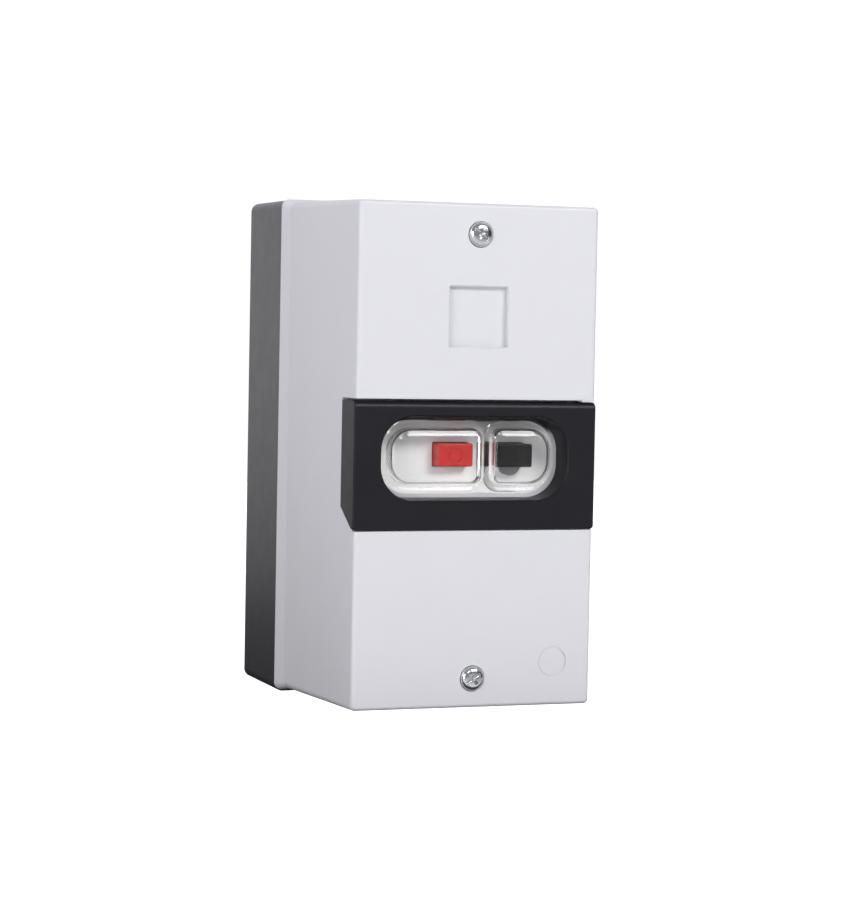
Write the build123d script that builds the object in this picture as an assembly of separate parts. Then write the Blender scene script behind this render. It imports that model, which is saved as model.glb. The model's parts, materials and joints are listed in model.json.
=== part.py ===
from build123d import *

import math
import os

# Enclosed motor protection breaker, for mounting on a wall. Millimetres.
# Origin: centre of the rear wall-mounting face. +Z is up, +X is to the right as seen
# from the front, and the front faces -Y.

# Enclosure: a grey cover over a black base.
FRONT_Y = -112.0        # front face of the cover
SEAM_Y = -39.0          # where the cover meets the base
FRONT_W = 81.2
FRONT_H = 160.0
DRAFT_X = 0.96          # how much each side wall spreads over the cover's depth
DRAFT_Z = 2.1           # and the top and bottom walls
COVER_WALL = 2.6
FLANGE_W = 86.8
FLANGE_H = 165.6
FLANGE_DEPTH = 5.4
BASE_FLOOR = 3.0
TONGUE_W = 81.4         # the base's tongue that centres the cover
TONGUE_H = 161.2
TONGUE_WALL = 1.6
TONGUE_LENGTH = 3.0
LAP_DEPTH = 4.1         # how far the cover is recessed for the tongue and the seal
LABEL_W = 19.6
LABEL_H = 19.0
LABEL_Z = 44.15
LABEL_DEPTH = 2.2
PILLAR_TOP_Y = -104.0
SCREW_Z = (70.2, -70.7)  # the two cover screws, on the centre line
M4_R = 2.0
SCREW_HEAD_R = 4.0
SCREW_SEAT_R = 4.2      # the shallow seats that the heads sit in
RUNNING = 0.05          # radial clearance of a running fit
WALL_SCREW_X = 30.0     # half the spacing of the wall screws
WALL_SCREW_Z = 60.0
WALL_SCREW_R = 2.6
KNOCKOUT_X = 19.0
KNOCKOUT_Y = -20.0
KNOCKOUT_R = 10.2       # M20 gland

# Front band: black trim that holds the clear membrane.
CHANNEL_TOP = 18.1
CHANNEL_BOTTOM = -23.6
BAND_TOP = 17.4
BAND_BOTTOM = -23.3
BAND_HALF_W = 41.0
CHEEK_DEPTH = 12.5
CHEEK_CORNER_Z = -16.9  # where the cheek's lower corner starts to slope
SLOPE_START = 1.1       # depth where the channel's lower wall starts to slope
CHANNEL_FLOOR = 10.0    # depth of the channel floor behind the front face
WINDOW_X = -0.2
WINDOW_Z = -0.7
WINDOW_W = 63.4
WINDOW_H = 26.6
WINDOW_R = 11.0
MEMBRANE_DEPTH = 8.6    # depth of the membrane's flange
MEMBRANE_WALL = 0.9
DOME_H = 23.1
DOME_Z = -0.35
DOME_R = 9.8
DOME_INNER_R = 5.6
DOME_SLOPE = 2.2        # how far the dome's sides lean in

# Breaker: a three-pole device on a 35 mm rail.
RAIL_FACE_Y = -29.0
RAIL_HALF_H = 17.5
BREAKER_W = 45.0
BREAKER_H = 90.0
CASE_SPLIT_Y = -73.0
TIER_Y = -80.0          # front of the terminal tiers
NOSE_Y = -96.4          # front of the nose
TRAY_Y = -98.0          # front of the light tray behind the window
NOSE_H = 45.0
CASE_WALL = 1.8
POLES = (-14.0, 0.0, 14.0)
TERMINAL_Z = 37.0
START_X = 15.5
STOP_X = -3.7
BUTTON_W = 12.0
BUTTON_H = 7.4
START_FACE_Y = -106.0
STOP_FACE_Y = -102.8
START_TRAVEL = 5.0
STOP_TRAVEL = 2.5
DIAL_X = -9.0
DIAL_Z = -15.0
CONTACT_Y = -50.0       # face of the fixed contacts
CONTACT_Z = 9.0
CONTACT_GAP = 3.2       # open distance of the contacts at rest
MAGNET_Z = -28.0
PLUNGER_R = 1.6
TRIP_Y = -75.0          # axis of the trip bar
TRIP_Z = -23.0
TRIP_BAR_R = 1.5
LATCH_Y = -77.0
LATCH_Z = -9.0
CASE_SCREW_X = 7.0
CASE_SCREW_Z = 27.0

# The rocker turns between the buttons, nearer the one that moves less.
ROCKER_X = STOP_X + (START_X - STOP_X) * STOP_TRAVEL / (START_TRAVEL + STOP_TRAVEL)
ROCKER_Y = -82.4
ROCKER_SWING = math.atan(START_TRAVEL / (START_X - ROCKER_X))


def at_depth(depth):
    """Y of a plane that lies this far behind the front face."""
    return FRONT_Y + depth


def facing_front(y):
    """Sketch plane at y: local x is +X, local y is +Z, and it extrudes towards -Y."""
    return Plane(origin=(0, y, 0), x_dir=(1, 0, 0), z_dir=(0, -1, 0))


def block(x0, x1, y0, y1, z0, z1):
    centre = Pos((x0 + x1) / 2, (y0 + y1) / 2, (z0 + z1) / 2)
    return centre * Box(x1 - x0, y1 - y0, z1 - z0)


def slab(sketch, y_front, y_rear):
    """A front-facing sketch made solid between two Y planes."""
    return extrude(facing_front(y_rear) * sketch, y_rear - y_front)


def rod(x, z, y_front, y_rear, r):
    return slab(Pos(x, z) * Circle(r), y_front, y_rear)


def rod_x(x0, x1, y, z, r):
    return Pos((x0 + x1) / 2, y, z) * Rot(0, 90, 0) * Cylinder(r, x1 - x0)


def rod_z(x, y, z0, z1, r):
    return Pos(x, y, (z0 + z1) / 2) * Cylinder(r, z1 - z0)


def rounded(w, h, r, x=0.0, z=0.0):
    return Pos(x, z) * RectangleRounded(w, h, r)


def tapered(y_front, front_sketch, y_rear, rear_sketch):
    sections = [facing_front(y_front) * front_sketch, facing_front(y_rear) * rear_sketch]
    return loft(sections)


def profile_x(points, x0, x1):
    """A closed outline given as (Y, Z) points, made solid between two X planes."""
    side = Plane(origin=(x0, 0, 0), x_dir=(0, 1, 0), z_dir=(1, 0, 0))
    outline = make_face(Polyline(*points, close=True))
    return extrude(side * outline, x1 - x0)


def edges_at_y(shape, y):
    return shape.edges().filter_by(lambda e: abs(e.center().Y - y) < 0.01
                                   and abs(e.bounding_box().size.Y) < 0.01)


def pan_head_screw(x, z, seat_y, length, head_r, head_h, shank_r):
    """A pan head screw that points to +Y, with a combined cross and slot recess."""
    head = rod(x, z, seat_y - head_h, seat_y, head_r)
    head = fillet(edges_at_y(head, seat_y - head_h), head_h * 0.55)
    shank = rod(x, z, seat_y - 0.1, seat_y + length, shank_r)
    screw = head + shank
    reach = head_r * 0.62
    arm = head_r * 0.13
    deep = head_h * 0.6
    y_in = seat_y - head_h + deep
    screw -= block(x - reach, x + reach, seat_y - head_h - 1, y_in, z - arm, z + arm)
    screw -= block(x - arm, x + arm, seat_y - head_h - 1, y_in, z - reach, z + reach)
    return screw


def cover_section(depth, inset, radius):
    share = depth / (SEAM_Y - FRONT_Y)
    return rounded(FRONT_W + 2 * (DRAFT_X * share - inset),
                   FRONT_H + 2 * (DRAFT_Z * share - inset), radius)


def slope_z(depth):
    """Z of the channel's sloping lower wall at this depth."""
    run = (CHEEK_DEPTH - 0.8) - SLOPE_START
    fall = CHEEK_CORNER_Z - 0.3 - CHANNEL_BOTTOM
    return CHANNEL_BOTTOM + fall * (depth - SLOPE_START) / run


def channel_outline(depth, grow):
    """(Y, Z) outline of the channel, as deep as stated and grown outwards all round."""
    return [
        (at_depth(-1.0), CHANNEL_TOP + grow),
        (at_depth(depth), CHANNEL_TOP + grow),
        (at_depth(depth), slope_z(depth) - grow),
        (at_depth(SLOPE_START), CHANNEL_BOTTOM - grow),
        (at_depth(-1.0), CHANNEL_BOTTOM - grow),
    ]


def make_cover():
    depth = SEAM_Y - FRONT_Y
    body = tapered(FRONT_Y, cover_section(0, 0, 1.6), SEAM_Y, cover_section(depth, 0, 2.6))
    body = fillet(edges_at_y(body, FRONT_Y), 1.2)
    # The flange leans out from the walls to the seam, like a short skirt.
    flange = tapered(SEAM_Y - FLANGE_DEPTH, cover_section(depth - FLANGE_DEPTH, 0.25, 2.2),
                     SEAM_Y - 0.6, rounded(FLANGE_W, FLANGE_H, 2.6))
    outer = body + flange + slab(rounded(FLANGE_W, FLANGE_H, 2.6), SEAM_Y - 0.6, SEAM_Y)
    cavity = tapered(
        at_depth(COVER_WALL), cover_section(COVER_WALL, COVER_WALL, 1.0),
        SEAM_Y + 1, cover_section(depth + 1, COVER_WALL, 1.4),
    )
    lap = slab(rounded(TONGUE_W + 0.4, TONGUE_H + 0.4, 2.0), SEAM_Y - LAP_DEPTH, SEAM_Y + 1)
    shell = outer - cavity - lap

    # The channel that the band sits in: a full-width trough with a floor.
    side_depth = CHEEK_DEPTH + 0.3
    liner = profile_x(channel_outline(side_depth + 2.4, 2.3), -FRONT_W, FRONT_W) & body
    liner -= block(-34.5, 34.5, at_depth(CHANNEL_FLOOR + 2.4), at_depth(20), -30, 30)
    shell = shell + liner
    inner_x = 37.0
    shell -= profile_x(channel_outline(CHANNEL_FLOOR, 0), -inner_x, inner_x)
    for side in (-1, 1):
        ends = sorted((side * inner_x, side * FRONT_W))
        shell -= profile_x(channel_outline(side_depth, 0), *ends)
    # The right-hand end of the channel's top edge comes down to meet the band.
    shell += block(36.2, 40.4, at_depth(0.3), at_depth(2.6), BAND_TOP + 0.15, CHANNEL_TOP + 0.5)
    window = rounded(59.0, 23.0, 9.6, WINDOW_X, WINDOW_Z)
    shell -= slab(window, FRONT_Y, at_depth(20))

    # Bosses that take the pillar tops, screw holes and their shallow seats.
    for z in SCREW_Z:
        shell += rod(0, z, at_depth(COVER_WALL - 0.2), at_depth(11), 6.6)
        shell -= rod(0, z, at_depth(7.4), at_depth(12), 4.9)
        shell -= rod(0, z, FRONT_Y - 1, at_depth(12), M4_R + 0.3)
        shell -= rod(0, z, FRONT_Y - 1, at_depth(0.8), SCREW_SEAT_R)
    # Square recess for a label, with a softened lip and a pad behind it.
    shell += block(-12, 12, at_depth(COVER_WALL - 0.2), at_depth(LABEL_DEPTH + 2.2),
                   LABEL_Z - 12, LABEL_Z + 12)
    label = rounded(LABEL_W, LABEL_H, 0.3, 0, LABEL_Z)
    label_lip = rounded(LABEL_W + 0.9, LABEL_H + 0.9, 0.6, 0, LABEL_Z)
    shell -= slab(label, FRONT_Y - 1, at_depth(LABEL_DEPTH))
    shell -= tapered(FRONT_Y, label_lip, at_depth(0.5), label)
    # Fine moulded ring.
    ring = Circle(4.9) - Circle(4.5)
    shell -= slab(Pos(27.4, -66.0) * ring, FRONT_Y - 1, at_depth(0.25))
    return shell


def base_section(w, z_low, z_high, radius):
    return rounded(w, z_high - z_low, radius, 0, (z_low + z_high) / 2)


def make_base():
    outer = tapered(SEAM_Y, base_section(86.2, -83.4, 82.6, 2.6),
                    0, base_section(86.0, -83.35, 82.8, 3.0))
    outer = fillet(edges_at_y(outer, SEAM_Y), 0.35)
    outer = fillet(edges_at_y(outer, 0), 1.8)
    # The lower wall steps in towards the rear.
    outer -= block(-60, 60, -12.5, 10, -90, -82.8)
    inner_w = TONGUE_W - 2 * TONGUE_WALL
    inner_h = TONGUE_H - 2 * TONGUE_WALL
    outer += slab(rounded(TONGUE_W, TONGUE_H, 1.8), SEAM_Y - TONGUE_LENGTH, SEAM_Y)
    cavity = tapered(SEAM_Y - 10, rounded(inner_w, inner_h, 1.2),
                     -BASE_FLOOR, rounded(inner_w - 1.2, inner_h - 1.6, 1.2))
    base = outer - cavity
    # Pillars for the cover screws, stiffened by ribs at their feet.
    for z in SCREW_Z:
        base += rod(0, z, PILLAR_TOP_Y, -BASE_FLOOR + 0.5, 4.5)
        base += block(-7.5, 7.5, -16, -BASE_FLOOR + 0.5, z - 0.9, z + 0.9)
        base -= rod(0, z, PILLAR_TOP_Y - 1, PILLAR_TOP_Y + 20, 3.0)
    # Pads under the rail, with holes for its screws.
    for side in (-1, 1):
        ends = sorted((side * 29.5, side * 38.5))
        base += block(*ends, RAIL_FACE_Y + 7.5, -BASE_FLOOR + 0.5, -12, 12)
        base -= rod(side * 34.5, 0, RAIL_FACE_Y, -9, M4_R + RUNNING)
    # Pad for the earth terminal.
    base += block(-37, -25, -14, -BASE_FLOOR + 0.5, -60, -46)
    # Holes for the wall screws, counterbored inside.
    for x in (-WALL_SCREW_X, WALL_SCREW_X):
        for z in (-WALL_SCREW_Z - 10, WALL_SCREW_Z + 10):
            base -= rod(x, z, -BASE_FLOOR - 1, 1, WALL_SCREW_R)
            base -= rod(x, z, -BASE_FLOOR - 1, -BASE_FLOOR + 0.8, 5.2)
    # Scored knockouts for cable glands in the top and bottom walls.
    for x in (-KNOCKOUT_X, KNOCKOUT_X):
        for z0, z1 in ((80.2, 86.0), (-86.0, -80.2)):
            score = rod_z(x, KNOCKOUT_Y, z0, z1, KNOCKOUT_R)
            score -= rod_z(x, KNOCKOUT_Y, z0 - 1, z1 + 1, KNOCKOUT_R - 0.7)
            base -= score
    return base


def make_gasket():
    outer = rounded(TONGUE_W + 0.2, TONGUE_H + 0.2, 1.9)
    inner = rounded(TONGUE_W - 3.0, TONGUE_H - 3.0, 1.0)
    return slab(outer - inner, SEAM_Y - LAP_DEPTH + 0.05, SEAM_Y - TONGUE_LENGTH - 0.05)


def make_insert():
    """Brass sleeves with an M4 bore, one in the top of each pillar."""
    inserts = []
    for z in SCREW_Z:
        sleeve = rod(0, z, PILLAR_TOP_Y + 0.1, PILLAR_TOP_Y + 9, 2.98)
        sleeve -= rod(0, z, PILLAR_TOP_Y - 1, PILLAR_TOP_Y + 10, M4_R + RUNNING)
        inserts.append(sleeve)
    return Compound(inserts)


def make_cover_screw(z):
    return pan_head_screw(0, z, at_depth(0.8), 13.0, SCREW_HEAD_R, 2.4, M4_R)


def make_o_rings():
    """Seals on the cover screws, in the bottom of the cover's bosses."""
    rings = []
    for z in SCREW_Z:
        ring = Circle(4.3) - Circle(2.15)
        rings.append(slab(Pos(0, z) * ring, at_depth(7.45), PILLAR_TOP_Y - 0.05))
    return Compound(rings)


def make_band():
    plate = block(-BAND_HALF_W, BAND_HALF_W, FRONT_Y, at_depth(2.6), BAND_BOTTOM, BAND_TOP)
    corners = plate.edges().filter_by(Axis.Y).filter_by(lambda e: e.center().Z < 0)
    plate = fillet(corners, 1.1)
    top_edge = edges_at_y(plate, FRONT_Y).filter_by(lambda e: e.center().Z > BAND_TOP - 0.1)
    plate = fillet(top_edge, 2.0)
    rest = edges_at_y(plate, FRONT_Y).filter_by(lambda e: e.center().Z < BAND_TOP - 2.1)
    band = fillet(rest, 0.5)
    cheek = [
        (at_depth(2.0), BAND_TOP),
        (at_depth(CHEEK_DEPTH), BAND_TOP),
        (at_depth(CHEEK_DEPTH), CHEEK_CORNER_Z + 0.3),
        (at_depth(11.7), CHEEK_CORNER_Z),
        (at_depth(2.0), BAND_BOTTOM + 0.4),
    ]
    for side in (-1, 1):
        ends = sorted((side * (BAND_HALF_W - 2.0), side * BAND_HALF_W))
        band += profile_x(cheek, *ends)
    # Walls along the top and bottom edges, resting on the channel floor.
    half = BAND_HALF_W - 1.0
    floor_y = at_depth(CHANNEL_FLOOR - 0.1)
    band += block(-36.5, 36.5, at_depth(1.5), floor_y, BAND_TOP - 2.4, BAND_TOP - 0.4)
    lower = [
        (at_depth(1.5), BAND_BOTTOM + 0.6),
        (floor_y, CHEEK_CORNER_Z - 0.5),
        (floor_y, CHEEK_CORNER_Z + 1.6),
        (at_depth(1.5), BAND_BOTTOM + 2.9),
    ]
    band += profile_x(lower, -36.5, 36.5)
    for side in (-1, 1):
        ends = sorted((side * 35.0, side * half))
        band += block(*ends, at_depth(1.5), at_depth(9.7), BAND_TOP - 2.4, BAND_TOP - 0.6)
    # Collar round the window, reaching back to the membrane's flange.
    rear = at_depth(MEMBRANE_DEPTH - 0.05)
    collar = rounded(WINDOW_W + 2.4, WINDOW_H + 2.4, WINDOW_R + 1.2, WINDOW_X, WINDOW_Z)
    band += slab(collar, at_depth(1.5), rear)
    mouth = rounded(WINDOW_W, WINDOW_H, WINDOW_R, WINDOW_X, WINDOW_Z)
    throat = rounded(WINDOW_W - 1.0, WINDOW_H - 1.0, WINDOW_R - 0.5, WINDOW_X, WINDOW_Z)
    band -= tapered(FRONT_Y, mouth, rear, throat)
    band -= slab(mouth, FRONT_Y - 1, FRONT_Y)
    lip = rounded(WINDOW_W + 0.8, WINDOW_H + 0.8, WINDOW_R + 0.4, WINDOW_X, WINDOW_Z)
    band -= tapered(FRONT_Y, lip, at_depth(0.4), mouth)
    # Nothing reaches below the channel's slope, less a small gap.
    gap = 0.25
    band -= profile_x([
        (at_depth(SLOPE_START), slope_z(SLOPE_START) + gap),
        (at_depth(14), slope_z(14) + gap),
        (at_depth(14), -30),
        (at_depth(SLOPE_START), -30),
    ], -FRONT_W, FRONT_W)
    return band


def dome_outline(inner_x, outer_x, inset):
    """Round at its outer end, with tighter corners where the two domes meet."""
    outward = math.copysign(1, outer_x - inner_x)
    middle = (inner_x + outer_x) / 2
    width = abs(outer_x - inner_x)
    height = DOME_H - 2 * inset
    outline = rounded(width - 2 * inset, height, DOME_R - inset, middle, DOME_Z)
    near = rounded(width / 2 - inset, height, DOME_INNER_R - inset,
                   (inner_x + middle + outward * inset) / 2, DOME_Z)
    return outline + near


def dome(inner_x, outer_x, inset, y_top, y_foot):
    """A blunt pyramid with round corners between two planes."""
    foot = dome_outline(inner_x, outer_x, inset)
    top = dome_outline(inner_x, outer_x, inset + DOME_SLOPE)
    return tapered(y_top, top, y_foot, foot)


def make_membrane():
    flange = slab(rounded(65.4, 28.4, 12.0, WINDOW_X, WINDOW_Z),
                  at_depth(MEMBRANE_DEPTH), at_depth(MEMBRANE_DEPTH + 1.3))
    membrane = flange
    spans = ((5.5, -29.6), (5.5, 29.7))
    top_y = at_depth(4.1)
    foot_y = at_depth(MEMBRANE_DEPTH + 0.1)
    for inner_x, outer_x in spans:
        raised = dome(inner_x, outer_x, 0, top_y, foot_y)
        membrane += fillet(edges_at_y(raised, top_y), 0.8)
    for inner_x, outer_x in spans:
        membrane -= dome(inner_x, outer_x, MEMBRANE_WALL, top_y + MEMBRANE_WALL, at_depth(12))
    return membrane


def make_rail():
    half_l = 38.0
    rear = RAIL_FACE_Y + 7.5
    rail = block(-half_l, half_l, rear - 1, rear, -13.5, 13.5)
    for side in (-1, 1):
        rail += block(-half_l, half_l, RAIL_FACE_Y, rear,
                      *sorted((side * 12.5, side * 13.5)))
        rail += block(-half_l, half_l, RAIL_FACE_Y, RAIL_FACE_Y + 1,
                      *sorted((side * 12.5, side * RAIL_HALF_H)))
    for x in (-18.0, 0.0, 18.0):
        rail -= slab(Pos(x, 0) * SlotOverall(13.0, 6.2), rear - 2, rear + 1)
    for x in (-34.5, 34.5):
        rail -= rod(x, 0, rear - 2, rear + 1, M4_R + 0.3)
    return rail


def make_rail_screws():
    seat = RAIL_FACE_Y + 6.5
    return Compound([pan_head_screw(x, 0, seat, 11.0, 3.4, 2.4, M4_R) for x in (-34.5, 34.5)])


def make_earth_terminal():
    bar = block(-36, -26, -21, -14, -59, -47)
    for x in (-33.4, -28.6):
        bar -= rod_z(x, -17.5, -60, -46, 1.8)
    for z in (-56.0, -50.0):
        bar -= rod(-31, z, -22, -14.5, 1.25)
    return bar


def make_earth_screws():
    return Compound([pan_head_screw(-31, z, -21, 5.0, 2.4, 1.6, 1.2) for z in (-56.0, -50.0)])


def make_rear_case():
    half_w = BREAKER_W / 2
    half_h = BREAKER_H / 2
    back = RAIL_FACE_Y - 0.1
    case = block(-half_w, half_w, CASE_SPLIT_Y, back, -half_h, half_h)
    case = fillet(case.edges().filter_by(Axis.Y), 1.0)
    case -= block(-half_w + CASE_WALL, half_w - CASE_WALL, CASE_SPLIT_Y - 1, back - 6.4,
                  -half_h + CASE_WALL, half_h - CASE_WALL)
    # Barriers between the poles, kept short of the moving bridge and trip bar.
    for x in (-7.0, 7.0):
        case += block(x - 0.6, x + 0.6, -52.5, back - 6.0, -43.6, 43.6)
    # Fixed hooks over the upper edge of the rail.
    case += block(-16, 16, back - 0.5, RAIL_FACE_Y + 4.2, RAIL_HALF_H + 0.3, RAIL_HALF_H + 3.4)
    case += block(-16, 16, RAIL_FACE_Y + 1.5, RAIL_FACE_Y + 4.2,
                  RAIL_HALF_H - 2.2, RAIL_HALF_H + 0.4)
    # Bosses for the case screws, standing on the barriers.
    for x in (-CASE_SCREW_X, CASE_SCREW_X):
        for z in (-CASE_SCREW_Z, CASE_SCREW_Z):
            case += rod(x, z, CASE_SPLIT_Y, -45, 2.1)
            case -= rod(x, z, CASE_SPLIT_Y - 1, -59, 1.3)
    # Guide pocket for the sliding rail clip.
    case -= block(-7.2, 7.2, back - 3.2, back + 1, -46, -7)
    # Wire entries into the terminals.
    for x in POLES:
        for side in (-1, 1):
            case -= block(x - 4.5, x + 4.5, -69, -60.5,
                          *sorted((side * (half_h - 3), side * (half_h + 1))))
    return case


def make_front_case():
    half_w = BREAKER_W / 2
    half_h = BREAKER_H / 2
    half_nose = NOSE_H / 2
    case = block(-half_w, half_w, TIER_Y, CASE_SPLIT_Y - 0.05, -half_h, half_h)
    case += block(-half_w, half_w, NOSE_Y, TIER_Y + 1, -half_nose, half_nose)
    case = fillet(case.edges().filter_by(Axis.Y), 1.0)
    case = fillet(edges_at_y(case, NOSE_Y), 0.8)
    case -= block(-half_w + CASE_WALL, half_w - CASE_WALL, TIER_Y + CASE_WALL, -70,
                  -half_h + CASE_WALL, half_h - CASE_WALL)
    case -= block(-half_w + CASE_WALL, half_w - CASE_WALL, NOSE_Y + 2.0, -70,
                  -half_nose + CASE_WALL, half_nose - CASE_WALL)
    # Ribs between the terminals.
    for x in (-half_w + 0.6, -7.0, 7.0, half_w - 0.6):
        for side in (-1, 1):
            case += block(x - 0.6, x + 0.6, TIER_Y - 4, TIER_Y + 0.5,
                          *sorted((side * (CASE_SCREW_Z + 3), side * half_h)))
    # Access holes over the terminal screws.
    for x in POLES:
        for side in (-1, 1):
            case -= rod(x, side * TERMINAL_Z, TIER_Y - 1, TIER_Y + 3, 4.2)
    for x in (START_X, STOP_X):
        case -= button_hole(x, NOSE_Y - 1, NOSE_Y + 3)
    # Relief in the side wall beside the start button.
    case -= block(20.0, 21.85, NOSE_Y + 1.9, NOSE_Y + 9.4, -4.4, 4.4)
    case -= rod(DIAL_X, DIAL_Z, NOSE_Y - 1, NOSE_Y + 3, 4.0 + RUNNING)
    # Sleeves for the case screws, and bearings for the rocker.
    for x in (-CASE_SCREW_X, CASE_SCREW_X):
        for z in (-CASE_SCREW_Z, CASE_SCREW_Z):
            case += rod(x, z, TIER_Y + 1, CASE_SPLIT_Y - 0.05, 2.1)
            case -= rod(x, z, TIER_Y - 1, CASE_SPLIT_Y + 1, 1.3)
    for side in (-1, 1):
        lug = block(0.4, 5.0, NOSE_Y + 1, ROCKER_Y + 2.6, *sorted((side * 8.0, side * 10.0)))
        case += lug
    case -= rod_z(ROCKER_X, ROCKER_Y, -11, 11, 1.2 + RUNNING)
    return case


def make_button(x, face_y, flange_y, stem_end_y):
    """A square-cornered push button with a stop flange and a stem."""
    head = slab(rounded(BUTTON_W, BUTTON_H, 0.5, x, 0), face_y, flange_y + 0.1)
    head = fillet(edges_at_y(head, face_y), 0.35)
    flange = slab(rounded(BUTTON_W - 2.4, BUTTON_H + 3, 0.6, x - 1, 0), flange_y, flange_y + 1.4)
    button = head + flange
    return button + slab(Pos(x, 0) * Rectangle(3.0, 6.0), flange_y + 1, stem_end_y)


def make_start_button():
    button = make_button(START_X, START_FACE_Y, NOSE_Y + 2.15, ROCKER_Y - 4.6)
    return button - block(START_X - 0.25, START_X + 0.25, START_FACE_Y - 1, START_FACE_Y + 0.3,
                          -2.4, 2.4)


def make_stop_button():
    button = make_button(STOP_X, STOP_FACE_Y, NOSE_Y + 2.15 + STOP_TRAVEL, ROCKER_Y - 1.0)
    ring = Circle(2.5) - Circle(2.1)
    return button - slab(Pos(STOP_X, 0) * ring, STOP_FACE_Y - 1, STOP_FACE_Y + 0.25)


def button_hole(x, y_front, y_rear):
    return slab(rounded(BUTTON_W + 0.6, BUTTON_H + 0.6, 0.6, x, 0), y_front, y_rear)


def make_window_tray():
    """A light tray behind the channel floor that frames the buttons."""
    floor_rear = at_depth(CHANNEL_FLOOR + 2.4)
    tray = slab(rounded(65.4, 28.0, 11.5, WINDOW_X, WINDOW_Z), floor_rear + 0.05, TRAY_Y + 1.4)
    tray -= slab(rounded(61.0, 24.6, 10.0, WINDOW_X, WINDOW_Z), floor_rear - 1, TRAY_Y)
    for x in (START_X, STOP_X):
        tray -= button_hole(x, TRAY_Y - 1, TRAY_Y + 3)
    return tray


def make_start_collar():
    """A low round guide moulded in grey beside the start button."""
    disc = rod(START_X + 1.0, -2.7, TRAY_Y - 0.6, TRAY_Y - 0.02, 4.1)
    return disc - button_hole(START_X, TRAY_Y - 2, TRAY_Y + 1)


def make_button_spring(x, flange_y, end_y):
    """The coil of a return spring, as a sleeve of its outside size."""
    return slab(Pos(x, 0) * (Circle(4.3) - Circle(3.6)), flange_y + 1.45, end_y)


def make_rocker():
    """The lever between the two buttons: one goes in, the other comes out."""
    hub = rod_z(ROCKER_X, ROCKER_Y, -7.9, 7.9, 2.4)
    rocker = hub + rod_z(ROCKER_X, ROCKER_Y, -9.8, 9.8, 1.2)
    tilt = math.degrees(ROCKER_SWING) / 2
    arms = Box(START_X - STOP_X + 2, 1.6, 5.0)
    centre_x = (START_X + STOP_X) / 2 - ROCKER_X
    return rocker + Pos(ROCKER_X, ROCKER_Y, 0) * Rot(0, 0, -tilt) * Pos(centre_x, 0, 0) * arms


def make_dial():
    dial = rod(DIAL_X, DIAL_Z, NOSE_Y + 0.1, NOSE_Y + 4, 4.0)
    dial += rod(DIAL_X, DIAL_Z, NOSE_Y + 2.1, NOSE_Y + 3.2, 5.2)
    dial += rod(DIAL_X, DIAL_Z, NOSE_Y + 3.2, NOSE_Y + 8, 1.6)
    dial -= block(DIAL_X - 2.9, DIAL_X + 2.9, NOSE_Y - 1, NOSE_Y + 1.1,
                  DIAL_Z - 0.5, DIAL_Z + 0.5)
    return dial


def make_case_screws():
    screws = []
    for x in (-CASE_SCREW_X, CASE_SCREW_X):
        for z in (-CASE_SCREW_Z, CASE_SCREW_Z):
            screws.append(pan_head_screw(x, z, TIER_Y, 20.0, 2.2, 1.5, 1.25))
    return Compound(screws)


def make_contact_carrier():
    """The insulating slide that carries the three moving bridges."""
    carrier = block(-19.8, 19.8, -62.5, -58.5, -3.2, 3.2)
    for x in POLES:
        for side in (-1, 1):
            post = block(x + side * 3.6 - 0.7, x + side * 3.6 + 0.7, -59, -53.0, -2.2, 2.2)
            carrier += post
        carrier += block(x - 4.3, x + 4.3, -53.2, -52.4, -2.2, 2.2)
    return carrier + block(-2.0, 2.0, -72.0, -62.0, -2.2, 2.2)


def make_moving_contact(x):
    bridge_y = CONTACT_Y - CONTACT_GAP
    bridge = block(x - 2.4, x + 2.4, bridge_y - 2.0, bridge_y - 0.9, -11.0, 11.0)
    for side in (-1, 1):
        bridge += rod(x, side * CONTACT_Z, bridge_y - 1.0, bridge_y, 1.9)
    return bridge


def make_contact_springs():
    bridge_front = CONTACT_Y - CONTACT_GAP - 2.0
    coil = Circle(1.9) - Circle(1.3)
    return Compound([slab(Pos(x, 0) * coil, -58.45, bridge_front - 0.05) for x in POLES])


def make_fixed_contact(x, side):
    """A copper strip from a terminal to one silver contact."""
    z = sorted((side * (CONTACT_Z - 2.5), side * 24.0))
    strip = block(x - 2.5, x + 2.5, CONTACT_Y + 1.0, CONTACT_Y + 2.2, *z)
    strip += block(x - 2.5, x + 2.5, -56.4, CONTACT_Y + 2.2,
                   *sorted((side * 23.0, side * 24.0)))
    strip += block(x - 2.5, x + 2.5, -57.4, -56.4, *sorted((side * 23.0, side * 40.5)))
    return strip + rod(x, side * CONTACT_Z, CONTACT_Y, CONTACT_Y + 1.1, 1.9)


def make_arc_chutes(side):
    """Stacks of splitter plates beyond each pole's contacts."""
    plates = []
    for x in POLES:
        for i in range(5):
            y = -47.2 + 2.0 * i
            plates.append(block(x - 4.8, x + 4.8, y, y + 0.9,
                                *sorted((side * 6.0, side * 20.0))))
    return Compound(plates)


def make_terminal_clamps(side):
    """Box clamps: the wire goes in along Z, over the contact strip."""
    clamps = []
    for x in POLES:
        z = sorted((side * 33.0, side * 41.5))
        cage = block(x - 5.2, x + 5.2, -70.5, -54.6, *z)
        cage -= block(x - 4.2, x + 4.2, -68.6, -55.6, z[0] - 1, z[1] + 1)
        clamps.append(cage - rod(x, side * TERMINAL_Z, -72, -67, 2.05))
    return Compound(clamps)


def make_terminal_screws(side):
    screws = []
    for x in POLES:
        screws.append(pan_head_screw(x, side * TERMINAL_Z, -73.6, 7.0, 3.4, 2.4, 2.0))
    return Compound(screws)


def make_bimetal(x):
    """A bimetal strip that bends towards the trip bar when its heater warms it."""
    strip = block(x - 1.8, x + 1.8, -46.2, -45.4, -40.0, -22.5)
    return strip + block(x - 2.5, x + 2.5, -47.5, -44.0, -42.5, -39.9)


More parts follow.
